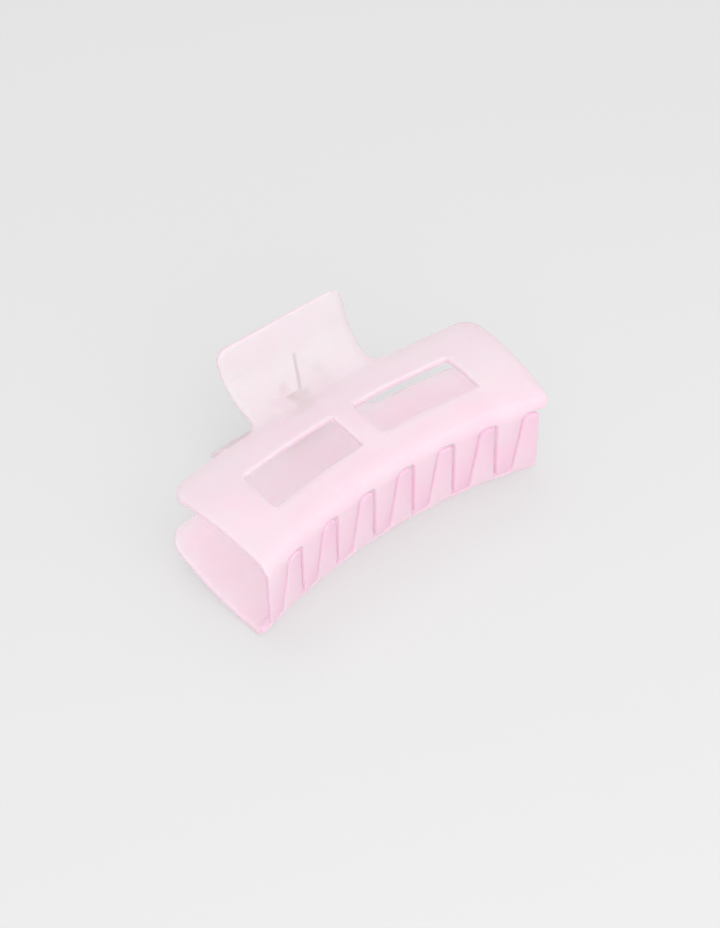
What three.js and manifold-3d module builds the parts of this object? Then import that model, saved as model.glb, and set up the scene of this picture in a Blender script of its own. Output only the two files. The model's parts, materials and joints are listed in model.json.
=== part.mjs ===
// A rectangular claw hair clip, closed and lying on one side: two identical moulded jaws that turn
// on a steel pin, held shut by a torsion spring. Millimetres, +Z up, teeth towards -Y.
//
// Each piece is drawn in the clip's own frame: X runs along the clip, Y runs back from the toothed
// face to the thumb tab, and Z = 0 is the plane between the jaws, so the upper jaw is at +Z.
// The lower jaw is the upper one given half a turn about Y.

import * as THREE from 'three';
import * as BufferGeometryUtils from 'three/addons/utils/BufferGeometryUtils.js';
import Module from 'manifold-3d';

const wasm = await Module();
wasm.setup();

const { clamp, degToRad, lerp } = THREE.MathUtils;

// ---- Driving dimensions ----

const WALL = 2.3; // thickness of the moulded sheet
const NEAR_HALF = 51.2; // half length of the toothed edge
const FAR_HALF = 55; // half length of the edge by the thumb tab
const PLATE_DEPTH = 41.5; // toothed face to the edge by the tab
const NEAR_HEIGHT = 17.2; // outside of the plate above Z = 0, where the bend ends
const FAR_HEIGHT = 11.1; // the same at the edge by the tab
const PLATE_CROWN = 2.5; // how far the plate bulges between those two
const BEND_RADIUS = 4.7; // outside radius of the bend from plate to toothed face
const NEAR_BOW = 7.2; // how far the middle of the toothed edge stands back from its ends
const FAR_BOW = 3.2; // the same at the edge by the tab
const CORNER_RADIUS = 5; // plate corners by the tab

const TOOTH_COUNT = 7;
const TOOTH_PITCH = 14.15;
const TOOTH_ROOT = 8.1; // width of a tooth where it leaves the band
const TOOTH_SLANT = 0.12; // how fast its outer side closes in, per millimetre of length
const TOOTH_GAP = 0.5; // clearance to the straight-sided neighbour
const TOOTH_REACH = 12.8; // how far a tip passes the mid-plane
const TIP_WALL = 1.7; // thickness at the tip
const TIP_RADIUS = 2.1;
const GAP_TOP = 13.8; // top of the gap between two teeth
const BAND_CORNER = 5; // rounds the band's end where it has no tooth

const SLOT_START = 3.7; // slots in the plate, along X and Y
const SLOT_END = 36.8;
const SLOT_NEAR = 13.2;
const SLOT_FAR = 28.5;
const SLOT_CORNER = 1.2;

const TAB_START = PLATE_DEPTH - 2.7; // where the plate begins to curl up into the tab
const TAB_RADIUS = 13.7; // hollow face of the curl
const TAB_SLOPE = degToRad(61); // slope at the end of the curl
const TAB_FLAT = 8; // flat pad from there to the tip
const TAB_STRAIGHTENS = 6; // the edge's bow fades out over this much of the tab
const TAB_ROOT_HALF = 20.4;
const TAB_TIP_HALF = 22.7;
const TAB_FILLET = 4; // between the sides of the tab and the plate's edge
const TAB_CORNER = 4.2;
const TAB_INSET = 0.05; // keeps the root of the tab inside the plate's faces

const HINGE_Y = 51.2;
const EAR_THICK = 2.3;
const EAR_CENTRES = [-5.2, 7.9]; // one ear stands inside its neighbour, the other outside
const EAR_RADIUS = 3.3;
const EAR_ROOT = [
  [46.4, 10.4],
  [53.2, 11.6],
]; // Y and Z of its two upper corners, inside the wall of the tab

const PIN_RADIUS = 1;
const PIN_CLEARANCE = 0.1;
const PIN_HALF = 9.7;
const PIN_CHAMFER = 0.3;

const WIRE_RADIUS = 0.55;
const COIL_RADIUS = 2.85; // to the middle of the wire
const COIL_TURNS = 5;
const COIL_PITCH = 1.25;
const LEG_LEAN = degToRad(20); // the legs lean back from Z
const LEG_LENGTH = 14.3;

const LENGTH_STEPS = 22; // facets along the clip
const PLATE_STEPS = 8;
const ARC_STEPS = 4;
const TAB_STEPS = 9;
const WIRE_STEPS = 110;

// ---- Materials ----

const plastic = new THREE.MeshStandardMaterial({
  color: 0xf6cfe0,
  roughness: 0.5,
  metalness: 0,
  transparent: true,
  opacity: 0.8,
});
const steel = new THREE.MeshStandardMaterial({ color: 0xb9b4a8, roughness: 0.35, metalness: 1 });

// ---- Solids ----

function toSolid(geometry) {
  const bare = geometry.clone();
  bare.deleteAttribute('normal');
  bare.deleteAttribute('uv');
  const merged = BufferGeometryUtils.mergeVertices(bare, 1e-4);
  return new wasm.Manifold(
    new wasm.Mesh({
      numProp: 3,
      vertProperties: new Float32Array(merged.attributes.position.array),
      triVerts: new Uint32Array(merged.index.array),
    }),
  );
}

function toGeometry(solid) {
  const mesh = solid.getMesh();
  const geometry = new THREE.BufferGeometry();
  geometry.setAttribute('position', new THREE.BufferAttribute(mesh.vertProperties, 3));
  geometry.setIndex(new THREE.BufferAttribute(mesh.triVerts, 1));
  geometry.computeVertexNormals();
  return geometry;
}

function mapPoints(geometry, move) {
  const position = geometry.attributes.position;
  const point = new THREE.Vector3();
  for (let i = 0; i < position.count; i += 1) {
    point.fromBufferAttribute(position, i);
    move(point);
    position.setXYZ(i, point.x, point.y, point.z);
  }
  return geometry;
}

// A section drawn in Y and Z, extruded along X.
function alongX(section, from, to, steps = 1) {
  const depth = to - from;
  const geometry = new THREE.ExtrudeGeometry(section, { depth, steps, bevelEnabled: false });
  return mapPoints(geometry, (p) => p.set(p.z + from, p.x, p.y));
}

// An outline drawn in X and Z, extruded along Y.
function alongY(outline, from, to) {
  const geometry = new THREE.ExtrudeGeometry(outline, {
    depth: to - from,
    curveSegments: ARC_STEPS,
    bevelEnabled: false,
  });
  return mapPoints(geometry, (p) => p.set(p.x, to - p.z, p.y));
}

// A closed outline through corners [x, y, radius], each rounded off by its radius.
function roundedOutline(corners) {
  const outline = new THREE.Shape();
  corners.forEach(([x, y, radius], i) => {
    const corner = new THREE.Vector2(x, y);
    const [before, after] = [corners.at(i - 1), corners[(i + 1) % corners.length]].map(([nx, ny]) =>
      new THREE.Vector2(nx, ny).sub(corner).setLength(radius).add(corner),
    );
    if (i === 0) outline.moveTo(before.x, before.y);
    else outline.lineTo(before.x, before.y);
    if (radius > 0) outline.quadraticCurveTo(x, y, after.x, after.y);
  });
  return outline;
}

// ---- Plan of a jaw: both long edges are bowed, and the ends splay ----

function cornerInset(past, radius) {
  const distance = clamp(past, 0, radius);
  return radius - Math.sqrt(radius * radius - distance * distance);
}

// Moves a point drawn on a straight jaw back onto the bowed one.
function bow(point) {
  const sag = lerp(NEAR_BOW, FAR_BOW, clamp(point.y / PLATE_DEPTH, 0, 1));
  const bowed = 1 - clamp((point.y - PLATE_DEPTH) / TAB_STRAIGHTENS, 0, 1);
  point.y += sag * (1 - bowed * (point.x / NEAR_HALF) ** 2);
}

// ---- Shell: toothed face, bend and plate ----

function plateSlope(share) {
  const rise = FAR_HEIGHT - NEAR_HEIGHT + 4 * PLATE_CROWN * (1 - 2 * share);
  return Math.atan(rise / (PLATE_DEPTH - BEND_RADIUS));
}

const bendSweep = Math.PI / 2 - plateSlope(0);
const bendCentreZ = NEAR_HEIGHT - BEND_RADIUS * Math.sin(bendSweep);
const plateStart = BEND_RADIUS * (1 - Math.cos(bendSweep));

function bendPoint(radius, angle) {
  const y = BEND_RADIUS - radius * Math.cos(angle);
  return new THREE.Vector2(y, bendCentreZ + radius * Math.sin(angle));
}

function platePoint(share, depth) {
  const slope = plateSlope(share);
  const y = lerp(plateStart, PLATE_DEPTH, share);
  const z = lerp(NEAR_HEIGHT, FAR_HEIGHT, share) + 4 * PLATE_CROWN * share * (1 - share);
  return new THREE.Vector2(y + depth * Math.sin(slope), z - depth * Math.cos(slope));
}

// Shares of the way across the plate: even, then close together round its corners.
function plateShares() {
  const corner = CORNER_RADIUS / PLATE_DEPTH;
  const shares = [];
  for (let i = 1; i < PLATE_STEPS; i += 1) shares.push((i / PLATE_STEPS) * (1 - corner));
  for (let i = 0; i <= ARC_STEPS; i += 1) {
    shares.push(1 - corner * (1 - Math.sin((i / ARC_STEPS) * (Math.PI / 2))));
  }
  return shares;
}

// Points of the shell's section at one depth under its outer face, from the bend to the far edge.
function shellLine(depth) {
  const line = [];
  for (let i = 0; i <= ARC_STEPS; i += 1) {
    line.push(bendPoint(BEND_RADIUS - depth, (i / ARC_STEPS) * bendSweep));
  }
  for (const share of plateShares()) line.push(platePoint(share, depth));
  return line;
}

function shellSection() {
  const round = TIP_WALL / 2;
  const tipCentre = round - TOOTH_REACH;
  const section = new THREE.Shape();
  section.absarc(round, tipCentre, round, Math.PI, 2 * Math.PI, false);
  for (const p of shellLine(WALL)) section.lineTo(p.x, p.y);
  for (const p of shellLine(0).reverse()) section.lineTo(p.x, p.y);
  return section;
}

function shellSolid() {
  const geometry = alongX(shellSection(), -NEAR_HALF, NEAR_HALF, LENGTH_STEPS);
  mapPoints(geometry, (p) => {
    const splayed = lerp(NEAR_HALF, FAR_HALF, clamp(p.y / PLATE_DEPTH, 0, 1));
    const corner = cornerInset(p.y - PLATE_DEPTH + CORNER_RADIUS, CORNER_RADIUS);
    const bandEnd = p.x > 0 ? cornerInset(NEAR_HEIGHT - p.z, BAND_CORNER) : 0;
    const half = p.y < BEND_RADIUS ? splayed - bandEnd : splayed - corner;
    p.x *= half / NEAR_HALF;
    bow(p);
  });
  return toSolid(geometry);
}

// ---- Gaps between the teeth ----

// Tooth 0 stands at the -X end. Its +X side is straight, and its -X side is slanted.
function straightSide(i) {
  return (i - (TOOTH_COUNT - 1) / 2) * TOOTH_PITCH - TOOTH_GAP / 2;
}

function slantedSide(i, z) {
  return straightSide(i) - TOOTH_ROOT + TOOTH_SLANT * (GAP_TOP - z);
}

// The open space on the -X side of tooth i, which also rounds the tips on both sides of it.
function toothGap(i) {
  const outside = NEAR_HALF + WALL;
  const tip = -TOOTH_REACH;
  const below = tip - WALL;
  const corners = [];
  if (i === 0) {
    corners.push([-outside, below, 0], [-outside, GAP_TOP, 0]);
  } else {
    const side = straightSide(i - 1);
    corners.push([side - TIP_RADIUS, below, 0], [side - TIP_RADIUS, tip, 0]);
    corners.push([side, tip, TIP_RADIUS], [side, GAP_TOP, TIP_RADIUS]);
  }
  if (i === TOOTH_COUNT) {
    corners.push([outside, GAP_TOP, 0], [outside, below, 0]);
  } else {
    const side = slantedSide(i, tip);
    corners.push([slantedSide(i, GAP_TOP), GAP_TOP, i === 0 ? 0 : TIP_RADIUS]);
    corners.push([side, tip, TIP_RADIUS], [side + TIP_RADIUS, tip, 0]);
    corners.push([side + TIP_RADIUS, below, 0]);
  }
  return toSolid(alongY(roundedOutline(corners), -WALL, NEAR_BOW + BEND_RADIUS));
}

// ---- Slots in the plate ----

function slotCutter(from, to) {
  const corners = [];
  for (let i = 0; i <= ARC_STEPS; i += 1) {
    const radius = i % ARC_STEPS === 0 ? SLOT_CORNER : 0;
    corners.push([lerp(from, to, i / ARC_STEPS), SLOT_NEAR, radius]);
  }
  for (let i = ARC_STEPS; i >= 0; i -= 1) {
    const radius = i % ARC_STEPS === 0 ? SLOT_CORNER : 0;
    corners.push([lerp(from, to, i / ARC_STEPS), SLOT_FAR, radius]);
  }
  const geometry = new THREE.ExtrudeGeometry(roundedOutline(corners), {
    depth: 2 * NEAR_HEIGHT,
    curveSegments: ARC_STEPS,
    bevelEnabled: false,
  });
  return toSolid(mapPoints(geometry, bow));
}

// ---- Thumb tab ----

const tabShare = (TAB_START - plateStart) / (PLATE_DEPTH - plateStart);
const tabStartAngle = plateSlope(tabShare);
const tabCentre = platePoint(tabShare, -TAB_RADIUS);
const curlLength = TAB_RADIUS * (TAB_SLOPE - tabStartAngle);
const tabLength = curlLength + TAB_FLAT;

// A point of the tab at a distance along its hollow face, and at a depth under it.
function tabPoint(along, depth) {
  const angle = tabStartAngle + Math.min(along, curlLength) / TAB_RADIUS;
  const past = Math.max(along - curlLength, 0);
  const radius = TAB_RADIUS + depth;
  return new THREE.Vector2(
    tabCentre.x + radius * Math.sin(angle) + past * Math.cos(angle),
    tabCentre.y - radius * Math.cos(angle) + past * Math.sin(angle),
  );
}

// The distance along the hollow face of a point anywhere in the tab.
function alongTab(y, z) {
  const [acrossY, acrossZ] = [y - tabCentre.x, tabCentre.y - z];
  const past = acrossY * Math.cos(TAB_SLOPE) - acrossZ * Math.sin(TAB_SLOPE);
  if (past > 0) return curlLength + past;
  return (Math.atan2(acrossY, acrossZ) - tabStartAngle) * TAB_RADIUS;
}

// Distances along the tab of its section's points, close together round the tip's corners.
function tabStations() {
  const stations = [];
  for (let i = 0; i <= TAB_STEPS; i += 1) stations.push((i / TAB_STEPS) * curlLength);
  for (let i = 0; i <= ARC_STEPS; i += 1) {
    stations.push(tabLength - TAB_CORNER * (1 - Math.sin((i / ARC_STEPS) * (Math.PI / 2))));
  }
  return stations;
}

// Half width at a distance along the curl: a fillet at the root, a slow flare, round corners.
function tabHalf(along) {
  const edge = PLATE_DEPTH - TAB_START;
  const flare = lerp(TAB_ROOT_HALF, TAB_TIP_HALF, clamp(along / tabLength, 0, 1));
  const fillet = cornerInset(TAB_FILLET + edge - along, TAB_FILLET);
  return flare + fillet - cornerInset(along - tabLength + TAB_CORNER, TAB_CORNER);
}

function tabSolid() {
  const under = tabStations().map((along) => tabPoint(along, WALL - TAB_INSET));
  const hollow = tabStations().map((along) => tabPoint(along, TAB_INSET));
  const section = new THREE.Shape([...under, ...hollow.reverse()]);
  const geometry = alongX(section, -1, 1, LENGTH_STEPS / 2);
  mapPoints(geometry, (p) => {
    p.x *= tabHalf(alongTab(p.y, p.z));
    bow(p);
  });
  return toSolid(geometry);
}

// ---- Hinge ears, each with its hole for the pin ----

function earSolid(centre) {
  const [[nearY, nearZ], [farY, farZ]] = EAR_ROOT;
  const section = new THREE.Shape();
  section.moveTo(nearY, nearZ);
  section.absarc(HINGE_Y, 0, EAR_RADIUS, Math.PI, 2 * Math.PI, false);
  section.lineTo(farY, farZ);
  const hole = new THREE.Path();
  hole.absarc(HINGE_Y, 0, PIN_RADIUS + PIN_CLEARANCE, 0, 2 * Math.PI, true);
  section.holes.push(hole);
  return toSolid(alongX(section, centre - EAR_THICK / 2, centre + EAR_THICK / 2));
}

function jawGeometry() {
  let jaw = shellSolid().add(tabSolid());
  for (const centre of EAR_CENTRES) jaw = jaw.add(earSolid(centre));
  for (let i = 0; i <= TOOTH_COUNT; i += 1) jaw = jaw.subtract(toothGap(i));
  jaw = jaw.subtract(slotCutter(SLOT_START, SLOT_END));
  jaw = jaw.subtract(slotCutter(-SLOT_END, -SLOT_START));
  return toGeometry(jaw);
}

// ---- Pin and spring ----

function pinGeometry() {
  const profile = [
    [0, -PIN_HALF],
    [PIN_RADIUS - PIN_CHAMFER, -PIN_HALF],
    [PIN_RADIUS, PIN_CHAMFER - PIN_HALF],
    [PIN_RADIUS, PIN_HALF - PIN_CHAMFER],
    [PIN_RADIUS - PIN_CHAMFER, PIN_HALF],
    [0, PIN_HALF],
  ].map(([x, y]) => new THREE.Vector2(x, y));
  return new THREE.LatheGeometry(profile, 24).rotateZ(-Math.PI / 2);
}

// One wire: a leg from the lower tab, the coil round the pin, and a leg to the upper tab.
class SpringPath extends THREE.Curve {
  getPoint(t, target = new THREE.Vector3()) {
    const sweep = 2 * Math.PI * COIL_TURNS - 2 * LEG_LEAN;
    const advance = (COIL_PITCH * sweep) / (2 * Math.PI);
    const coilLength = Math.hypot(sweep * COIL_RADIUS, advance);
    const along = t * (coilLength + 2 * LEG_LENGTH) - LEG_LENGTH;
    const share = clamp(along / coilLength, 0, 1);
    const angle = LEG_LEAN + share * sweep;
    const past = along - share * coilLength;
    return target.set(
      (share - 0.5) * advance,
      COIL_RADIUS * Math.cos(angle) - past * Math.sin(angle),
      COIL_RADIUS * Math.sin(angle) + past * Math.cos(angle),
    );
  }
}

function springGeometry() {
  const wire = new THREE.Shape();
  wire.absarc(0, 0, WIRE_RADIUS, 0, 2 * Math.PI, false);
  return new THREE.ExtrudeGeometry(wire, {
    curveSegments: 4,
    steps: WIRE_STEPS,
    extrudePath: new SpringPath(),
    bevelEnabled: false,
  });
}

// ---- Assembly ----

function piece(name, geometry, material) {
  const mesh = new THREE.Mesh(geometry, material);
  mesh.name = name;
  return mesh;
}

const upperJaw = piece('upper_jaw', jawGeometry(), plastic);
const lowerJaw = piece('lower_jaw', jawGeometry(), plastic);
lowerJaw.rotation.y = Math.PI;
const hingePin = piece('hinge_pin', pinGeometry(), steel);
hingePin.position.y = HINGE_Y;
const torsionSpring = piece('torsion_spring', springGeometry(), steel);
torsionSpring.position.y = HINGE_Y;

const clip = new THREE.Group();
clip.add(lowerJaw, upperJaw, hingePin, torsionSpring);

// Height of the lower jaw's lowest point in front of the hinge, less that of its lowest behind it.
function restingGap(tilt) {
  clip.rotation.x = tilt;
  clip.updateMatrixWorld(true);
  const position = lowerJaw.geometry.attributes.position;
  const point = new THREE.Vector3();
  let front = Infinity;
  let back = Infinity;
  for (let i = 0; i < position.count; i += 1) {
    point.fromBufferAttribute(position, i);
    const behind = point.y > HINGE_Y;
    const height = point.applyMatrix4(lowerJaw.matrixWorld).z;
    if (behind) back = Math.min(back, height);
    else front = Math.min(front, height);
  }
  return front - back;
}

// The clip lies on the ends of the lower toothed band and on the tip of the lower tab.
function restingTilt() {
  let low = 0;
  let high = Math.PI / 6;
  while (high - low > 1e-7) {
    const middle = (low + high) / 2;
    if (restingGap(middle) > 0) low = middle;
    else high = middle;
  }
  return low;
}

clip.rotation.x = restingTilt();
const box = new THREE.Box3().setFromObject(clip, true);
const centre = box.getCenter(new THREE.Vector3());
clip.position.set(-centre.x, -centre.y, -box.min.z);

const clawClip = new THREE.Group();
clawClip.add(clip);

export default clawClip;
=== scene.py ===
"""A rectangular claw hair clip of frosted pink plastic, closed and lying on one side.

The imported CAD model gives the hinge, the tilt and the bodies. Each jaw is drawn as the flat pattern
of its moulding, given its thickness and rounded rims, and bent into the jaw's section. The two jaws
turn on a steel rod inside a torsion spring. Lengths inside the pieces are millimetres in the clip's
own frame: X along the clip, Y from the toothed face back to the thumb tab, Z = 0 between the jaws.
"""

import json
import logging
import math
from dataclasses import dataclass, field
from enum import Enum
from typing import Iterable

import bmesh
import bpy
from mathutils import Matrix, Vector


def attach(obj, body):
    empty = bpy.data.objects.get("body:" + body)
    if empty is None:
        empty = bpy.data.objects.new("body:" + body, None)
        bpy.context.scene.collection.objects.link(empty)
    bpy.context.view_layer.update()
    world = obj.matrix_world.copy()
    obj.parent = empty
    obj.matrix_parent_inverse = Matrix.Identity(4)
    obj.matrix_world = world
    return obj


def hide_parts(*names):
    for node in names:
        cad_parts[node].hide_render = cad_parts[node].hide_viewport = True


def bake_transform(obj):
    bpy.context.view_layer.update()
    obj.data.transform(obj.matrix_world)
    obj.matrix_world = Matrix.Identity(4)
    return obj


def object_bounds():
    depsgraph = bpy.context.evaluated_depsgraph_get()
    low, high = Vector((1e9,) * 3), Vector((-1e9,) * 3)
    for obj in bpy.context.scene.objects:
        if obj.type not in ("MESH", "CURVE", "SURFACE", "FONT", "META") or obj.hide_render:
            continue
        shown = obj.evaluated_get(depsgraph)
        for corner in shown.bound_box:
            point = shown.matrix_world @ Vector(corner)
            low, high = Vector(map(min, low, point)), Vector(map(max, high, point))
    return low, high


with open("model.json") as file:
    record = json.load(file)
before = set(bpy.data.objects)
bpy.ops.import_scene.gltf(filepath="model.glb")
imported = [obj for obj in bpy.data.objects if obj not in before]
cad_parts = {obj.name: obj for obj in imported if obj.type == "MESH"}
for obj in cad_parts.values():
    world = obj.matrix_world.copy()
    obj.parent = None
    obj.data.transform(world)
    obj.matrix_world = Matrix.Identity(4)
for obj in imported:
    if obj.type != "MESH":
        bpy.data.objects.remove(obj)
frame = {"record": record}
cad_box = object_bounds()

log = logging.getLogger("claw_clip")

MM = 0.001
# attribute of painted light: how deep the pink is painted at each vertex
PAINTED_LIGHT_TINT = "tint"
HINGE_Y = 51.2  # the hinge's place in the clip's own frame
SNAP = 1e-3  # lengths below this count as nothing
NEARLY_STRAIGHT = math.radians(89.5)
GRAIN_SPREAD = (0.3, 0.7)
Point = tuple[float, float]
Colour = tuple[float, float, float]


class Body(Enum):
    """The two bodies that the hinge joins."""

    LOWER = "lower"
    UPPER = "upper"


class Slot(Enum):
    """The record's material slots."""

    PLASTIC = "jaw_plastic"
    PIN = "pin_steel"
    SPRING = "spring_steel"


# ---- Small helpers ----


def clamp(value: float, low: float = 0.0, high: float = 1.0) -> float:
    """Returns value held between low and high."""
    return max(low, min(high, value))


def lerp(a: float, b: float, share: float) -> float:
    """Returns the value a share of the way from a to b."""
    return a + (b - a) * share


def smooth(value: float, start: float, end: float) -> float:
    """Returns 0 before start, 1 after end, and a smooth step between them."""
    share = clamp((value - start) / (end - start))
    return share * share * (3 - 2 * share)


def spaced(low: float, high: float, step: float) -> list[float]:
    """Returns evenly spaced values from low to high, about step apart.

    Args:
        low: The first value.
        high: The last value.
        step: The largest distance between two values.

    Returns:
        The values, with both ends.
    """
    count = max(1, math.ceil((high - low) / step))
    return [lerp(low, high, i / count) for i in range(count + 1)]


def rounded(corners: list[tuple[float, float, float]], segments: int = 7) -> list[Point]:
    """Rounds the corners of a closed outline with true arcs.

    Args:
        corners: (x, y, radius) in order round the outline.
        segments: How many straight pieces make up each arc.

    Returns:
        The points of the rounded outline.
    """
    points: list[Point] = []
    for i, (x, y, radius) in enumerate(corners):
        here = Vector((x, y))
        to_last = (Vector(corners[i - 1][:2]) - here).normalized()
        to_next = (Vector(corners[(i + 1) % len(corners)][:2]) - here).normalized()
        half = to_last.angle(to_next) / 2
        if radius <= 0 or half > NEARLY_STRAIGHT:
            points.append((x, y))
            continue
        centre = here + (to_last + to_next).normalized() * (radius / math.sin(half))
        start = here + to_last * (radius / math.tan(half)) - centre
        turn = math.pi - 2 * half
        side = 1 if start.y * to_last.x > start.x * to_last.y else -1
        for k in range(segments + 1):
            spoke = Matrix.Rotation(side * turn * k / segments, 2) @ start
            points.append((centre.x + spoke.x, centre.y + spoke.y))
    return points


def finish_mesh(mesh: bpy.types.Mesh, sharp: float = 50.0) -> None:
    """Shades a mesh smooth, with edges kept sharp above an angle.

    Args:
        mesh: The mesh to shade.
        sharp: The angle in degrees.
    """
    mesh.shade_smooth()
    mesh.set_sharp_from_angle(angle=math.radians(sharp))


def new_object(name: str, bm: bmesh.types.BMesh) -> bpy.types.Object:
    """Turns a bmesh into an object at the origin, and frees the bmesh.

    Args:
        name: The object's and mesh's name.
        bm: The finished bmesh.

    Returns:
        The object, linked to the scene.
    """
    mesh = bpy.data.meshes.new(name)
    bm.to_mesh(mesh)
    bm.free()
    piece = bpy.data.objects.new(name, mesh)
    bpy.context.scene.collection.objects.link(piece)
    return piece


def flat_plate(outlines: list[list[Point]], thickness: float, rim: float) -> bmesh.types.BMesh:
    """Makes a flat plate with rounded rims from its outline and the outlines of its holes.

    Args:
        outlines: The outer outline first, anticlockwise, then the holes, clockwise.
        thickness: The plate's thickness, centred on Z = 0.
        rim: The radius of the rims.

    Returns:
        A closed bmesh in the outlines' own X and Y.
    """
    curve = bpy.data.curves.new("plate", "CURVE")
    curve.dimensions = "2D"
    curve.fill_mode = "BOTH"
    curve.extrude = thickness / 2 - rim
    curve.bevel_depth = rim
    curve.bevel_resolution = 2
    curve.offset = -rim
    for outline in outlines:
        spline = curve.splines.new("POLY")
        spline.points.add(len(outline) - 1)
        for point, (x, y) in zip(spline.points, outline):
            point.co = (x, y, 0, 1)
        spline.use_cyclic_u = True
    holder = bpy.data.objects.new("plate", curve)
    bpy.context.scene.collection.objects.link(holder)
    view = bpy.context.evaluated_depsgraph_get()
    bm = bmesh.new()
    bm.from_mesh(holder.evaluated_get(view).to_mesh())
    bpy.data.objects.remove(holder)
    bpy.data.curves.remove(curve)
    bmesh.ops.remove_doubles(bm, verts=bm.verts, dist=SNAP / 10)
    bmesh.ops.recalc_face_normals(bm, faces=bm.faces)
    return bm


def cut_grid(bm: bmesh.types.BMesh, columns: Iterable[float], rows: Iterable[float]) -> None:
    """Cuts a flat plate along columns and rows, and clears the fill's diagonals from its two faces.

    Args:
        bm: The plate.
        columns: The X of each cut along Y.
        rows: The Y of each cut along X.
    """
    cuts = [(Vector((x, 0, 0)), Vector((1, 0, 0))) for x in columns]
    cuts += [(Vector((0, y, 0)), Vector((0, 1, 0))) for y in rows]
    for place, normal in cuts:
        everything = bm.verts[:] + bm.edges[:] + bm.faces[:]
        bmesh.ops.bisect_plane(bm, geom=everything, dist=SNAP, plane_co=place, plane_no=normal)
    diagonals = []
    for edge in bm.edges:
        along = edge.verts[1].co - edge.verts[0].co
        flat = all(abs(f.normal.z) > 1 - SNAP for f in edge.link_faces)
        if flat and min(abs(along.x), abs(along.y)) > SNAP:
            diagonals.append(edge)
    bmesh.ops.dissolve_edges(bm, edges=diagonals, use_verts=False, use_face_split=False)
    bmesh.ops.triangulate(bm, faces=[f for f in bm.faces if len(f.verts) > 4])


# ---- The clip's frame ----


@dataclass
class ClipFrame:
    """Where the clip's own frame stands in the row frame."""

    pad_slope: float = math.radians(61)
    hinge: Vector = field(default_factory=Vector)
    tilt: float = 0.0

    @classmethod
    def from_record(cls, record: dict) -> "ClipFrame":
        """Reads the hinge's place and the clip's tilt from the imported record.

        Args:
            record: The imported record.

        Returns:
            The frame.
        """
        made = cls()
        made.hinge = Vector(record["behaviour"]["joints"][0]["pos_m"])
        pad = Vector(record["mounts"][0]["axis"])
        made.tilt = math.atan2(-pad.y, pad.z) - made.pad_slope
        return made

    def matrix(self, turned: bool = False) -> Matrix:
        """Returns the transform from the clip's frame, in millimetres, to the row frame, in metres.

        Args:
            turned: Whether the piece is given half a turn about Y first, as the lower jaw is.

        Returns:
            A 4 by 4 matrix.
        """
        half_turn = Matrix.Rotation(math.pi if turned else 0, 4, "Y")
        to_hinge = Matrix.Translation((0, -HINGE_Y, 0))
        tilted = Matrix.Rotation(self.tilt, 4, "X")
        return Matrix.Translation(self.hinge) @ tilted @ Matrix.Scale(MM, 4) @ to_hinge @ half_turn


# ---- Finishes ----


class Nodes:
    """A short way to add nodes to a material or a group."""

    def __init__(self, tree: bpy.types.NodeTree) -> None:
        """Keeps the tree."""
        self.tree = tree

    def add(self, kind: str, links: dict | None = None, **settings: object) -> bpy.types.Node:
        """Adds a node.

        Args:
            kind: The node's type name.
            links: Input name or number to the socket or value that it takes.
            **settings: Properties of the node.

        Returns:
            The node.
        """
        node = self.tree.nodes.new(kind)
        for name, value in settings.items():
            setattr(node, name, value)
        for name, value in (links or {}).items():
            if isinstance(value, bpy.types.NodeSocket):
                self.tree.links.new(value, node.inputs[name])
            else:
                node.inputs[name].default_value = value
        return node

    def ramp(
        self, source: bpy.types.NodeSocket, low: float, high: float, to: Point = (0, 1)
    ) -> bpy.types.NodeSocket:
        """Maps a value from one range to another, held at both ends.

        Args:
            source: The value.
            low: The value that gives the first of to.
            high: The value that gives the last of to.
            to: The range that comes out.

        Returns:
            The output socket.
        """
        links = {0: source, 1: low, 2: high, 3: to[0], 4: to[1]}
        return self.add("ShaderNodeMapRange", links).outputs[0]

    def blend(self, share: bpy.types.NodeSocket, low: Colour, high: Colour) -> bpy.types.NodeSocket:
        """Blends two colours.

        Args:
            share: How much of the second colour there is.
            low: The first colour.
            high: The second colour.

        Returns:
            The output socket.
        """
        links = {0: share, 6: (*low, 1), 7: (*high, 1)}
        return self.add("ShaderNodeMix", links, data_type="RGBA").outputs[2]

    def feed(self, shader: bpy.types.Node, sources: dict[str, bpy.types.NodeSocket]) -> None:
        """Links each source to the shader's input of that name."""
        for name, source in sources.items():
            self.tree.links.new(source, shader.inputs[name])


def new_material(name: str) -> tuple[bpy.types.Material, Nodes, bpy.types.Node]:
    """Makes a material with only its Principled shader.

    Args:
        name: The material's name.

    Returns:
        The material, its nodes, and the shader.
    """
    made = bpy.data.materials.new(name)
    made.use_nodes = True
    return made, Nodes(made.node_tree), made.node_tree.nodes["Principled BSDF"]


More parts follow.
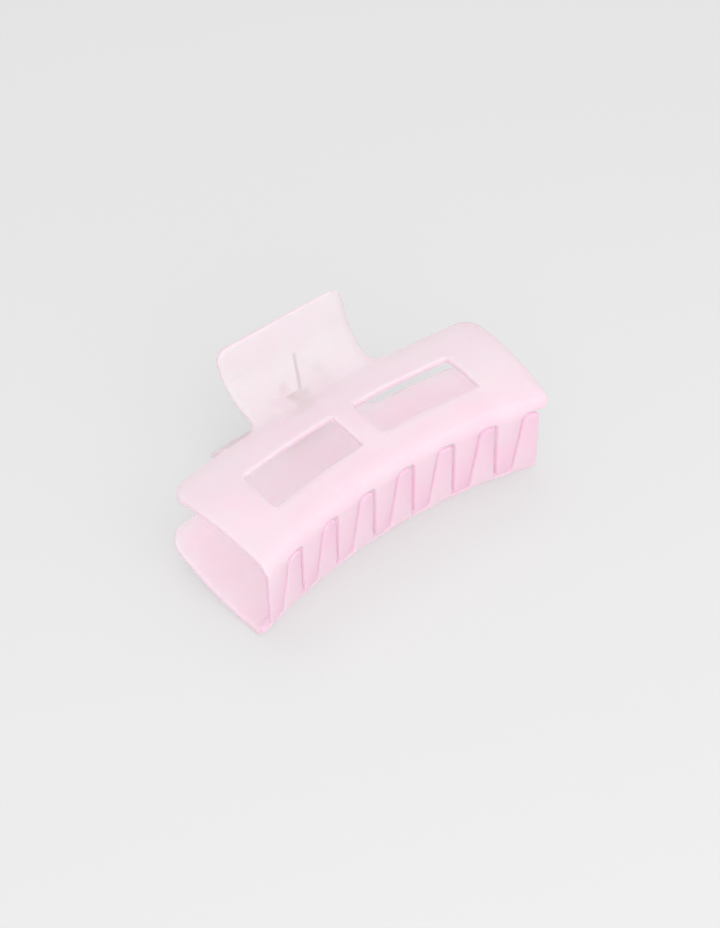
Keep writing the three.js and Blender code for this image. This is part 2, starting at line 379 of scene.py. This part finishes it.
class EffectGroups:
    """Node groups that the finishes share."""

    def __init__(self) -> None:
        """Makes the groups."""
        self.grain = self._grain()
        self.cloud = self._cloud()

    @staticmethod
    def _new(name: str, inputs: dict[str, float], outputs: dict[str, str]) -> bpy.types.NodeTree:
        """Makes an empty group with its sockets.

        Args:
            name: The group's name.
            inputs: Name to default value of each float input.
            outputs: Name to socket type of each output.

        Returns:
            The group.
        """
        group = bpy.data.node_groups.new(name, "ShaderNodeTree")
        add = group.interface.new_socket
        for label, value in inputs.items():
            socket = add(label, in_out="INPUT", socket_type="NodeSocketFloat")
            socket.default_value = value
        for label, kind in outputs.items():
            add(label, in_out="OUTPUT", socket_type=kind)
        return group

    def _grain(self) -> bpy.types.NodeTree:
        """Fine surface grain as a height from 0 to 1, in two sizes.

        Returns:
            The group.
        """
        sizes = {"Fine": 3000.0, "Coarse": 500.0}
        coarse_share = 0.35
        group = self._new("surface_grain", sizes, {"Height": "NodeSocketFloat"})
        n = Nodes(group)
        inside = n.add("NodeGroupInput").outputs
        where = n.add("ShaderNodeTexCoord").outputs["Object"]
        fine, coarse = (
            n.add("ShaderNodeTexNoise", {"Vector": where, "Scale": inside[name], "Detail": detail})
            for name, detail in (("Fine", 2.0), ("Coarse", 3.0))
        )
        mixed = n.add(
            "ShaderNodeMix", {0: coarse_share, 2: fine.outputs["Fac"], 3: coarse.outputs["Fac"]}
        )
        n.add("NodeGroupOutput", {"Height": mixed.outputs[0]})
        return group

    def _cloud(self) -> bpy.types.NodeTree:
        """Slow cloudiness of the plastic, as a mask from 0 to 1.

        Returns:
            The group.
        """
        inputs = {"Scale": 60.0, "Softness": 0.2}
        group = self._new("melt_cloud", inputs, {"Mask": "NodeSocketFloat"})
        n = Nodes(group)
        inside = n.add("NodeGroupInput").outputs
        where = n.add("ShaderNodeTexCoord").outputs["Object"]
        settings = {"Vector": where, "Scale": inside["Scale"], "Detail": 2.0, "Distortion": 0.6}
        noise = n.add("ShaderNodeTexNoise", settings).outputs["Fac"]
        low, high = (
            n.add("ShaderNodeMath", {0: 0.5, 1: inside["Softness"]}, operation=way).outputs[0]
            for way in ("SUBTRACT", "ADD")
        )
        mask = n.add("ShaderNodeMapRange", {0: noise, 1: low, 2: high})
        n.add("NodeGroupOutput", {"Mask": mask.outputs[0]})
        return group


@dataclass(frozen=True)
class FrostedPlastic:
    """Frosted translucent plastic whose colour deepens with the tint on the jaw, painted light for
    light crossing more plastic.

    The tab covers what is behind it less than the rest does. To shadows and bounced light every
    wall is more open still, as a lit frosted shell is, so that the inside of the clip is bright.
    """

    pale: Colour = (0.84, 0.755, 0.785)
    deep: Colour = (1.0, 0.42, 0.63)
    cover: float = 0.76
    tab_cover: float = 0.44
    full_cover_tint: float = 0.18
    shade: float = 0.2
    cloudiness: float = 0.09
    roughness: float = 0.42
    roughness_change: float = 0.05
    grain_strength: float = 0.25
    grain_depth: float = 0.00008
    ior: float = 1.45
    scatter_radius: Colour = (1.0, 0.7, 0.85)
    scatter_scale: float = 0.004

    def material(self, effects: EffectGroups) -> bpy.types.Material:
        """Builds the material.

        Args:
            effects: The shared node groups.

        Returns:
            The material.
        """
        made, n, shader = new_material("frosted_pink_plastic")
        # painted light: the tint blends pale to deep pink where light would cross more plastic
        tint = n.add("ShaderNodeAttribute", attribute_name=PAINTED_LIGHT_TINT).outputs["Fac"]
        cloud = n.add("ShaderNodeGroup", node_tree=effects.cloud).outputs["Mask"]
        stirred = n.add(
            "ShaderNodeMath", {0: cloud, 1: self.cloudiness, 2: tint}, operation="MULTIPLY_ADD"
        )
        middle = {0: stirred.outputs[0], 1: self.cloudiness / 2}
        share = n.add("ShaderNodeMath", middle, operation="SUBTRACT", use_clamp=True).outputs[0]
        grain = n.add("ShaderNodeGroup", node_tree=effects.grain).outputs["Height"]
        rough = (self.roughness - self.roughness_change, self.roughness + self.roughness_change)
        bump = {"Height": grain, "Strength": self.grain_strength, "Distance": self.grain_depth}
        seen = n.add("ShaderNodeLightPath").outputs["Is Camera Ray"]
        body = n.ramp(tint, 0, self.full_cover_tint, (self.tab_cover, self.cover))
        n.feed(shader, {
            "Base Color": n.blend(share, self.pale, self.deep),
            "Roughness": n.ramp(grain, *GRAIN_SPREAD, rough),
            "Normal": n.add("ShaderNodeBump", bump).outputs[0],
            "Alpha": n.add("ShaderNodeMix", {0: seen, 2: self.shade, 3: body}).outputs[0],
        })
        shader.inputs["IOR"].default_value = self.ior
        shader.inputs["Subsurface Weight"].default_value = 1.0
        shader.inputs["Subsurface Radius"].default_value = self.scatter_radius
        shader.inputs["Subsurface Scale"].default_value = self.scatter_scale
        return made


@dataclass(frozen=True)
class DrawnSteel:
    """Drawn steel wire or rod, with lines along it and a few darker stains."""

    name: str
    light: Colour
    dark: Colour
    roughness: float = 0.32
    smoother: float = 0.08
    rougher: float = 0.1
    stain_scale: float = 400.0
    line_scale: Colour = (200.0, 4000.0, 4000.0)
    line_strength: float = 0.3
    line_depth: float = 0.00002

    def material(self, effects: EffectGroups) -> bpy.types.Material:
        """Builds the material.

        Args:
            effects: The shared node groups.

        Returns:
            The material.
        """
        made, n, shader = new_material(self.name)
        where = n.add("ShaderNodeTexCoord").outputs["Object"]
        drawn = n.add("ShaderNodeMapping", {"Vector": where, "Scale": self.line_scale}).outputs[0]
        noise = {"Vector": drawn, "Scale": 1.0, "Detail": 2.0}
        lines = n.add("ShaderNodeTexNoise", noise).outputs["Fac"]
        cloud = n.add("ShaderNodeGroup", {"Scale": self.stain_scale}, node_tree=effects.cloud)
        rough = (self.roughness - self.smoother, self.roughness + self.rougher)
        bump = {"Height": lines, "Strength": self.line_strength, "Distance": self.line_depth}
        n.feed(shader, {
            "Base Color": n.blend(cloud.outputs["Mask"], self.light, self.dark),
            "Roughness": n.ramp(lines, *GRAIN_SPREAD, rough),
            "Normal": n.add("ShaderNodeBump", bump).outputs[0],
        })
        shader.inputs["Metallic"].default_value = 1.0
        return made


# ---- The jaw ----


@dataclass(frozen=True)
class Section:
    """The jaw's section: toothed face, bend and plate, and the tab that curls up from the plate."""

    wall: float = 2.3
    near_half: float = 51.2
    far_half: float = 55.0
    plate_depth: float = 41.5
    near_height: float = 17.2
    far_height: float = 11.1
    crown: float = 2.5
    bend_radius: float = 4.7
    near_bow: float = 7.2
    far_bow: float = 3.2
    tooth_reach: float = 12.8
    tip_wall: float = 1.7
    tab_start: float = 38.8
    tab_radius: float = 13.7
    tab_slope: float = math.radians(61)
    tab_flat: float = 8.0
    tab_straightens: float = 6.0
    tab_joins: Point = (21.0, 27.0)
    plate_overrun: float = 1.1

    def plate_slope(self, share: float) -> float:
        """Returns the plate's slope a share of the way back from the bend."""
        rise = self.far_height - self.near_height + 4 * self.crown * (1 - 2 * share)
        return math.atan(rise / (self.plate_depth - self.bend_radius))

    @property
    def bend_sweep(self) -> float:
        """Returns the angle of the bend from the toothed face to the plate."""
        return math.pi / 2 - self.plate_slope(0)

    @property
    def bend_height(self) -> float:
        """Returns the height of the bend's centre."""
        return self.near_height - self.bend_radius * math.sin(self.bend_sweep)

    @property
    def plate_start(self) -> float:
        """Returns the Y where the plate begins."""
        return self.bend_radius * (1 - math.cos(self.bend_sweep))

    @property
    def face_length(self) -> float:
        """Returns the distance along the section from the tips to the bend."""
        return self.tooth_reach + self.bend_height

    @property
    def bend_end(self) -> float:
        """Returns the distance along the section where the plate begins."""
        return self.face_length + self.bend_radius * self.bend_sweep

    @property
    def plate_length(self) -> float:
        """Measures the plate along its section.

        Returns:
            Its length.
        """
        steps = 40
        points = [self.plate_point(i / steps, 0) for i in range(steps + 1)]
        return sum((b - a).length for a, b in zip(points, points[1:]))

    def plate_point(self, share: float, depth: float) -> Vector:
        """Returns a point of the plate as (Y, Z).

        Args:
            share: How far back from the bend.
            depth: The distance under the outer face.

        Returns:
            The point.
        """
        slope = self.plate_slope(share)
        y = lerp(self.plate_start, self.plate_depth, share)
        z = lerp(self.near_height, self.far_height, share) + 4 * self.crown * share * (1 - share)
        return Vector((y + depth * math.sin(slope), z - depth * math.cos(slope)))

    def along_face(self, z: float) -> float:
        """Finds how far along the section a height on the toothed face is.

        Args:
            z: The height.

        Returns:
            The distance from the tips of the teeth.
        """
        over = z - self.bend_height
        if over <= 0:
            return z + self.tooth_reach
        return self.face_length + self.bend_radius * math.asin(clamp(over / self.bend_radius))

    def along_plate(self, y: float) -> float:
        """Returns the distance along the section of a Y on the plate."""
        share = (y - self.plate_start) / (self.plate_depth - self.plate_start)
        return self.bend_end + share * self.plate_length

    @property
    def tab_share(self) -> float:
        """Returns how far back the plate's outer face begins to curl into the tab."""
        return (self.tab_start - self.plate_start) / (self.plate_depth - self.plate_start)

    @property
    def curl_length(self) -> float:
        """Returns the length of the tab's curl along its hollow face."""
        return self.tab_radius * (self.tab_slope - self.plate_slope(self.tab_share))

    def tab_point(self, along: float, depth: float) -> Vector:
        """Returns a point of the tab as (Y, Z).

        Args:
            along: The distance along the hollow face.
            depth: The distance under it.

        Returns:
            The point.
        """
        centre = self.plate_point(self.tab_share, -self.tab_radius)
        angle = self.plate_slope(self.tab_share) + min(along, self.curl_length) / self.tab_radius
        past = max(along - self.curl_length, 0)
        radius = self.tab_radius + depth
        return Vector((
            centre.x + radius * math.sin(angle) + past * math.cos(angle),
            centre.y - radius * math.cos(angle) + past * math.sin(angle),
        ))

    def point(self, x: float, along: float, depth: float) -> Vector:
        """Bends a point of the flat pattern into the jaw.

        Args:
            x: The distance along the clip.
            along: The distance along the section from the tips of the teeth.
            depth: The distance under the outer face.

        Returns:
            The point in the clip's frame.
        """
        if along <= self.face_length:
            thinned = lerp(self.tip_wall / self.wall, 1, along / self.face_length)
            here = Vector((depth * thinned, along - self.tooth_reach))
        elif along <= self.bend_end:
            angle = (along - self.face_length) / self.bend_radius
            radius = self.bend_radius - depth
            y = self.bend_radius - radius * math.cos(angle)
            here = Vector((y, self.bend_height + radius * math.sin(angle)))
        else:
            share = (along - self.bend_end) / self.plate_length
            here = self.plate_point(min(share, self.plate_overrun), depth)
            past = along - self.bend_end - self.tab_share * self.plate_length
            if past > 0:
                joined = 1.0 if share > 1 else 1 - smooth(abs(x), *self.tab_joins)
                here = here.lerp(self.tab_point(past, depth), joined)
        y, z = here
        sag = lerp(self.near_bow, self.far_bow, clamp(y / self.plate_depth))
        bowed = 1 - clamp((y - self.plate_depth) / self.tab_straightens)
        return Vector((x, y + sag * (1 - bowed * (x / self.near_half) ** 2), z))


@dataclass(frozen=True)
class Pattern:
    """The outline of a jaw's flat pattern: teeth, band, plate with its two slots, and tab."""

    section: Section = Section()
    tooth_count: int = 7
    tooth_pitch: float = 14.15
    tooth_root: float = 8.1
    tooth_slant: float = 0.12
    tooth_gap: float = 0.5
    tip_radius: float = 2.1
    gap_top: float = 13.8
    first_root: float = 0.5
    left_side: Point = (2.0, 3.0)
    right_side: Point = (4.0, 5.0)
    band_inset: float = 1.3
    band_corner: float = 1.6
    plate_corner: float = 5.0
    slot: tuple[float, float, float, float] = (3.7, 36.8, 13.2, 28.5)
    slot_corner: float = 1.2
    tab_root_half: float = 20.6
    tab_tip_half: float = 22.7
    tab_fillet: float = 4.0
    tab_corner: float = 4.2
    rim: float = 0.75
    cell: float = 1.8
    bend_cell: float = 0.7
    tab_cell: float = 1.1

    @property
    def edge(self) -> float:
        """Returns the distance along the section of the plate's far edge."""
        return self.section.bend_end + self.section.plate_length

    @property
    def tab_root(self) -> float:
        """Returns the distance along the section where the tab begins to curl."""
        return self.section.bend_end + self.section.tab_share * self.section.plate_length

    @property
    def tab_tip(self) -> float:
        """Returns the distance along the section of the tab's end."""
        return self.tab_root + self.section.curl_length + self.section.tab_flat

    def tooth_sides(self, i: int) -> tuple[float, float, float]:
        """Finds the sides of a tooth.

        Args:
            i: The tooth, from 0 at the left.

        Returns:
            The X of its slanted side at the tip, the same at the root, and its straight side.
        """
        straight = (i - (self.tooth_count - 1) / 2) * self.tooth_pitch - self.tooth_gap / 2
        root = straight - self.tooth_root
        tip = root + self.tooth_slant * (self.gap_top + self.section.tooth_reach)
        return tip, root, straight

    def outline(self) -> list[Point]:
        """Draws the outer outline.

        Returns:
            Its points, anticlockwise.
        """
        s = self.section
        top = s.along_face(self.gap_top)
        r = self.tip_radius
        rise, radius = self.left_side
        corners: list[tuple[float, float, float]] = [
            (-s.near_half, s.bend_end, 0),
            (-s.near_half, top + rise, radius),
        ]
        for i in range(self.tooth_count):
            at_tip, at_root, straight = self.tooth_sides(i)
            corners.append((at_root, top, self.first_root if i == 0 else r))
            corners += [(at_tip, 0, r), (straight, 0, r), (straight, top, r)]
        rise, radius = self.right_side
        return rounded([
            *corners,
            (s.near_half - self.band_inset, top, self.band_corner),
            (s.near_half, top + rise, radius),
            (s.near_half, s.bend_end, 0),
            (s.far_half, self.edge, self.plate_corner),
            (self.tab_root_half, self.edge, self.tab_fillet),
            (self.tab_tip_half, self.tab_tip, self.tab_corner),
            (-self.tab_tip_half, self.tab_tip, self.tab_corner),
            (-self.tab_root_half, self.edge, self.tab_fillet),
            (-s.far_half, self.edge, self.plate_corner),
        ])

    def slots(self) -> list[list[Point]]:
        """Draws the two slots.

        Returns:
            The points of each outline, clockwise.
        """
        start, end, near, far = self.slot
        low, high = self.section.along_plate(near), self.section.along_plate(far)
        made = []
        for left, right in ((start, end), (-end, -start)):
            corners = ((left, low), (left, high), (right, high), (right, low))
            made.append(rounded([(x, y, self.slot_corner) for x, y in corners]))
        return made

    def flat(self) -> bmesh.types.BMesh:
        """Cuts the flat plate out, and into cells that are small enough to bend.

        Returns:
            The plate.
        """
        s = self.section
        bm = flat_plate([self.outline(), *self.slots()], s.wall, self.rim)
        rows = spaced(0, s.face_length, self.cell)[1:]
        rows += spaced(s.face_length, s.bend_end, self.bend_cell)[1:]
        rows += spaced(s.bend_end, self.tab_root, self.cell)[1:]
        rows += spaced(self.tab_root, self.tab_tip, self.tab_cell)[1:-1]
        cut_grid(bm, spaced(-s.far_half, s.far_half, self.cell)[1:-1], rows)
        return bm


@dataclass(frozen=True)
class PaintedLightTint:
    """Painted light over a jaw: how deep its pink is, palest on the tab, deepest at the tips.

    Each fade is a pair of distances along the flat pattern: from the tips, from the two ends of the
    bend, and from the plate's far edge. The skin and the rim are pairs of depths under a face.
    """

    # painted light: the pink is deepened where light crosses more plastic (at the rims, down the
    # toothed face, at the tips and through the ears) and inside the clip where light bounces; the
    # thin tab is painted palest
    plate: float = 0.12
    tab: float = 0.03
    face: float = 0.26
    tips: float = 0.17
    inner: float = 0.03
    plate_rim: float = 0.16
    face_rim: float = 0.32
    ear: float = 0.42
    tip_fade: Point = (2.0, 24.0)
    face_fade: Point = (-1.0, 4.0)
    inner_fade: float = 16.0
    tab_fade: Point = (-8.0, 9.0)
    skin: Point = (0.3, 0.05)
    rim: Point = (0.35, 0.05)

    def at(self, pattern: Pattern, flat: Vector) -> float:
        """Finds the tint at a point of a jaw's flat pattern.

        Args:
            pattern: The flat pattern.
            flat: The point, with Z through the plate.

        Returns:
            The tint, from 0 to 1.
        """
        half = pattern.section.wall / 2
        inner = smooth(-flat.z, *(half - depth for depth in self.skin))
        rim = 1 - smooth(abs(flat.z), *(half - depth for depth in self.rim))
        start = pattern.section.face_length + self.face_fade[0]
        end = pattern.section.bend_end + self.face_fade[1] + self.inner_fade * inner
        face = 1 - smooth(flat.y, start, end)
        tab = smooth(flat.y, *(pattern.edge + reach for reach in self.tab_fade))
        tint = lerp(lerp(self.plate, self.tab, tab), self.face, face)
        tint += self.tips * (1 - smooth(flat.y, *self.tip_fade))
        tint += self.inner * inner * (1 - tab)
        return clamp(tint + lerp(self.plate_rim, self.face_rim, face) * rim)


@dataclass
class Jaw:
    """One moulded jaw: the bent pattern with its two hinge ears."""

    body: Body
    node: str
    pattern: Pattern = Pattern()
    light_tints: PaintedLightTint = PaintedLightTint()
    ear_centres: Point = (-5.2, 7.9)
    ear_thick: float = 2.3
    ear_radius: float = 3.3
    ear_root: tuple[Point, Point] = ((46.2, 10.6), (53.6, 12.2))
    hole_radius: float = 1.1
    ear_rim: float = 0.35
    ear_step: float = math.radians(9)
    hole_step: float = math.radians(12)

    def ear_outlines(self) -> list[list[Point]]:
        """Draws an ear and its hole in Y and Z.

        Returns:
            The ear's outline, anticlockwise, then the hole's, clockwise.
        """
        near, far = self.ear_root

        def around(radius: float, angle: float) -> Point:
            """Returns the point at an angle round the hinge."""
            return HINGE_Y + radius * math.cos(angle), radius * math.sin(angle)

        arc = spaced(math.pi, 2 * math.pi, self.ear_step)
        ring = spaced(0, 2 * math.pi, self.hole_step)[:-1]
        outer = [near, *(around(self.ear_radius, angle) for angle in arc), far]
        return [outer, [around(self.hole_radius, -angle) for angle in ring]]

    def build(self, clip: ClipFrame) -> bpy.types.Object:
        """Builds the jaw in place.

        Args:
            clip: The clip's frame.

        Returns:
            The jaw.
        """
        sheet = self.pattern.flat()
        half = self.pattern.section.wall / 2
        tint = sheet.verts.layers.float.new(PAINTED_LIGHT_TINT)
        # painted light: each vertex gets its painted depth of pink, with the ears deepest
        for vert in sheet.verts:
            vert[tint] = self.light_tints.at(self.pattern, vert.co)
            vert.co = self.pattern.section.point(vert.co.x, vert.co.y, half - vert.co.z)
        bmesh.ops.recalc_face_normals(sheet, faces=sheet.faces)
        jaw = new_object(f"{self.node}_moulding", sheet)
        for centre in self.ear_centres:
            ear = flat_plate(self.ear_outlines(), self.ear_thick, self.ear_rim)
            tint = ear.verts.layers.float.new(PAINTED_LIGHT_TINT)
            for vert in ear.verts:
                vert[tint] = self.light_tints.ear
                vert.co = Vector((centre + vert.co.z, vert.co.x, vert.co.y))
            bmesh.ops.recalc_face_normals(ear, faces=ear.faces)
            self._join(jaw, new_object("ear", ear))
        jaw.data.transform(clip.matrix(turned=self.body is Body.LOWER))
        finish_mesh(jaw.data)
        return jaw

    @staticmethod
    def _join(jaw: bpy.types.Object, ear: bpy.types.Object) -> None:
        """Joins an ear to the jaw and removes the ear's own object.

        Args:
            jaw: The jaw.
            ear: The ear.
        """
        union = jaw.modifiers.new("join", "BOOLEAN")
        union.operation = "UNION"
        union.solver = "EXACT"
        union.object = ear
        view = bpy.context.evaluated_depsgraph_get()
        joined = bpy.data.meshes.new_from_object(jaw.evaluated_get(view))
        jaw.modifiers.clear()
        old = jaw.data
        jaw.data = joined
        joined.name = jaw.name
        bpy.data.meshes.remove(old)
        bpy.data.objects.remove(ear)

    def dress(self, jaw: bpy.types.Object, material: bpy.types.Material) -> None:
        """Gives the jaw its finish and its body.

        Args:
            jaw: The jaw.
            material: The frosted plastic.
        """
        jaw.data.materials.clear()
        jaw.data.materials.append(material)
        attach(jaw, self.body.value)
        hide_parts(self.node)


# ---- Pin and spring ----


@dataclass
class HingeRod:
    """The steel rod through the four ears."""

    radius: float = 1.0
    half_length: float = 9.7
    chamfer: float = 0.3
    chamfer_steps: int = 4
    facets: int = 48
    node: str = "hinge_pin"

    def build(self, clip: ClipFrame) -> bpy.types.Object:
        """Builds the rod in place.

        Args:
            clip: The clip's frame.

        Returns:
            The rod.
        """
        bm = bmesh.new()
        bmesh.ops.create_cone(
            bm, cap_ends=True, segments=self.facets, radius1=self.radius, radius2=self.radius,
            depth=2 * self.half_length,
        )
        rims = [e for e in bm.edges if abs(e.verts[0].co.z - e.verts[1].co.z) < SNAP]
        bmesh.ops.bevel(
            bm, geom=rims, affect="EDGES", offset=self.chamfer, segments=self.chamfer_steps,
            profile=0.5, material=-1, clamp_overlap=True,
        )
        bm.transform(Matrix.Translation((0, HINGE_Y, 0)) @ Matrix.Rotation(math.pi / 2, 4, "Y"))
        bm.transform(clip.matrix())
        rod = new_object("hinge_rod", bm)
        finish_mesh(rod.data)
        return rod

    def dress(self, rod: bpy.types.Object, material: bpy.types.Material) -> None:
        """Gives the rod its finish and its body.

        Args:
            rod: The rod.
            material: The steel.
        """
        rod.data.materials.append(material)
        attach(rod, Body.LOWER.value)
        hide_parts(self.node)


@dataclass
class TorsionSpring:
    """The wire spring: a coil round the rod, with a leg to each tab."""

    wire: float = 0.55
    coil: float = 2.85
    turns: int = 5
    pitch: float = 1.25
    lean: float = math.radians(20)
    leg: float = 14.3
    leg_steps: int = 10
    tip_round: float = 0.45
    tip_steps: int = 3
    facets: int = 16
    steps: int = 200
    blend_half: float = 2.4
    node: str = "torsion_spring"

    def build(self, clip: ClipFrame) -> bpy.types.Object:
        """Builds the spring in place.

        Args:
            clip: The clip's frame.

        Returns:
            The spring.
        """
        sweep = 2 * math.pi * self.turns - 2 * self.lean
        advance = self.pitch * sweep / (2 * math.pi)
        axis = Vector((1, 0, 0))
        start = Matrix.Rotation(self.lean, 4, axis) @ Vector((-advance / 2, self.coil, 0))
        bm = bmesh.new()
        bmesh.ops.create_circle(bm, segments=self.facets, radius=self.wire)
        across = Matrix.Translation(start) @ Matrix.Rotation(self.lean, 4, axis)
        bm.transform(across)
        first = bm.edges[:]
        turned = bmesh.ops.spin(
            bm, geom=first, cent=(0, 0, 0), axis=axis, dvec=axis * (advance / self.steps),
            angle=sweep, steps=self.steps, use_merge=False,
        )
        last = [g for g in turned["geom_last"] if isinstance(g, bmesh.types.BMEdge)]
        for rim, angle, way in ((first, self.lean, -1), (last, self.lean + sweep, 1)):
            tangent = Vector((0, -math.sin(angle), math.cos(angle))) * way
            self._leg(bm, rim, tangent)
        bmesh.ops.recalc_face_normals(bm, faces=bm.faces)
        bm.transform(Matrix.Translation((0, HINGE_Y, 0)))
        bm.transform(clip.matrix())
        spring = new_object("spring_wire", bm)
        finish_mesh(spring.data)
        return spring

    def _leg(self, bm: bmesh.types.BMesh, rim: list[bmesh.types.BMEdge], tangent: Vector) -> None:
        """Draws a straight leg out from an open end of the coil and closes it with a rounded tip.

        Args:
            bm: The spring.
            rim: The edges of the open end.
            tangent: The leg's direction.
        """
        for _ in range(self.leg_steps):
            drawn = bmesh.ops.extrude_edge_only(bm, edges=rim)["geom"]
            verts = [g for g in drawn if isinstance(g, bmesh.types.BMVert)]
            rim = [g for g in drawn if isinstance(g, bmesh.types.BMEdge)]
            bmesh.ops.translate(bm, verts=verts, vec=tangent * (self.leg / self.leg_steps))
        cap = bmesh.ops.contextual_create(bm, geom=rim)["faces"]
        bmesh.ops.bevel(
            bm, geom=[e for f in cap for e in f.edges], affect="EDGES",
            offset=self.wire * self.tip_round, segments=self.tip_steps,
            profile=0.5, material=-1, clamp_overlap=True,
        )

    def dress(
        self, spring: bpy.types.Object, material: bpy.types.Material, clip: ClipFrame
    ) -> None:
        """Gives the spring its finish and bakes its place into its mesh.

        Args:
            spring: The spring.
            material: The steel.
            clip: Not used.
        """
        spring.data.materials.append(material)
        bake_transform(spring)
        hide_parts(self.node)


# ---- Studio ----


@dataclass(frozen=True)
class Softbox:
    """A round area light aimed at the clip."""

    name: str
    place: tuple[float, float, float]
    size: float
    power: float

    def hang(self) -> None:
        """Adds the light to the scene."""
        lamp = bpy.data.lights.new(self.name, "AREA")
        lamp.shape = "DISK"
        lamp.size = self.size
        lamp.energy = self.power
        holder = bpy.data.objects.new(self.name, lamp)
        holder.location = self.place
        holder.rotation_euler = (-Vector(self.place)).to_track_quat("-Z", "Y").to_euler()
        bpy.context.scene.collection.objects.link(holder)


@dataclass
class Studio:
    """Pale floor, soft light and the camera."""

    elevation: float = 47.35
    azimuth: float = 39.08
    distance: float = 0.6587
    lens: float = 89.67
    aim_y: float = 19.5
    off_centre: Point = (-1.986, 2.806)
    sensor: float = 36.0
    floor_half: float = 3.0
    floor_colour: Colour = (0.76, 0.76, 0.76)
    floor_roughness: float = 0.9
    floor_shine: float = 0.1
    sky: float = 0.75
    softboxes: tuple[Softbox, ...] = (
        Softbox("key", (-0.3, -0.8, 0.7), 1.4, 6.5),
        Softbox("top", (0.1, 0.3, 1.1), 0.8, 1.5),
    )
    bounces: int = 24
    diffuse_bounces: int = 16
    glossy_bounces: int = 12

    def floor(self) -> None:
        """Lays the floor under the clip."""
        bm = bmesh.new()
        bmesh.ops.create_grid(bm, x_segments=1, y_segments=1, size=self.floor_half)
        bmesh.ops.translate(bm, verts=bm.verts, vec=(0, 0, cad_box[0][2]))
        floor = new_object("floor", bm)
        made, _, shader = new_material("pale_floor")
        shader.inputs["Base Color"].default_value = (*self.floor_colour, 1)
        shader.inputs["Roughness"].default_value = self.floor_roughness
        shader.inputs["Specular IOR Level"].default_value = self.floor_shine
        floor.data.materials.append(made)

    def lights(self) -> None:
        """Hangs the soft lights and sets the sky."""
        world = bpy.data.worlds.new("studio")
        bpy.context.scene.world = world
        world.use_nodes = True
        sky = world.node_tree.nodes["Background"]
        sky.inputs["Color"].default_value = (1, 1, 1, 1)
        sky.inputs["Strength"].default_value = self.sky
        for softbox in self.softboxes:
            softbox.hang()

    def camera(self, clip: ClipFrame) -> None:
        """Sets the camera, the plain colour transform and how far light bounces.

        Args:
            clip: The clip's frame.
        """
        turn = Matrix.Rotation(-math.radians(self.azimuth), 4, "Z")
        turn = turn @ Matrix.Rotation(math.radians(90 - self.elevation), 4, "X")
        aim = clip.matrix() @ Vector((0, self.aim_y, 0))
        right, up = self.off_centre
        eye = aim + turn @ Vector((right * MM, up * MM, self.distance))
        data = bpy.data.cameras.new("camera")
        data.lens = self.lens
        data.sensor_width = self.sensor
        camera = bpy.data.objects.new("camera", data)
        camera.matrix_world = Matrix.Translation(eye) @ turn
        bpy.context.scene.collection.objects.link(camera)
        bpy.context.scene.camera = camera
        bpy.context.scene.view_settings.view_transform = "Standard"
        cycles = bpy.context.scene.cycles
        cycles.max_bounces = self.bounces
        cycles.diffuse_bounces = self.diffuse_bounces
        cycles.glossy_bounces = self.glossy_bounces
        cycles.transmission_bounces = self.bounces


def report(piece: bpy.types.Object) -> None:
    """Logs a finished piece."""
    log.info("%s: %d faces", piece.name, len(piece.data.polygons))


def main() -> None:
    """Builds the clip piece by piece, then the studio round it."""
    logging.basicConfig(level=logging.INFO, format="%(name)s: %(message)s")
    clip = ClipFrame.from_record(frame["record"])
    effects = EffectGroups()
    plastic = FrostedPlastic().material(effects)
    rod_steel = DrawnSteel("rod_steel", (0.66, 0.65, 0.62), (0.5, 0.48, 0.45)).material(effects)
    wire_steel = DrawnSteel("wire_steel", (0.46, 0.38, 0.27), (0.29, 0.23, 0.15)).material(effects)
    for jaw in (Jaw(Body.LOWER, "lower_jaw"), Jaw(Body.UPPER, "upper_jaw")):
        piece = jaw.build(clip)
        jaw.dress(piece, plastic)
        report(piece)
    rod = HingeRod()
    piece = rod.build(clip)
    rod.dress(piece, rod_steel)
    report(piece)
    spring = TorsionSpring()
    piece = spring.build(clip)
    spring.dress(piece, wire_steel, clip)
    report(piece)
    studio = Studio()
    studio.floor()
    studio.lights()
    studio.camera(clip)


if __name__ == "__main__":
    main()
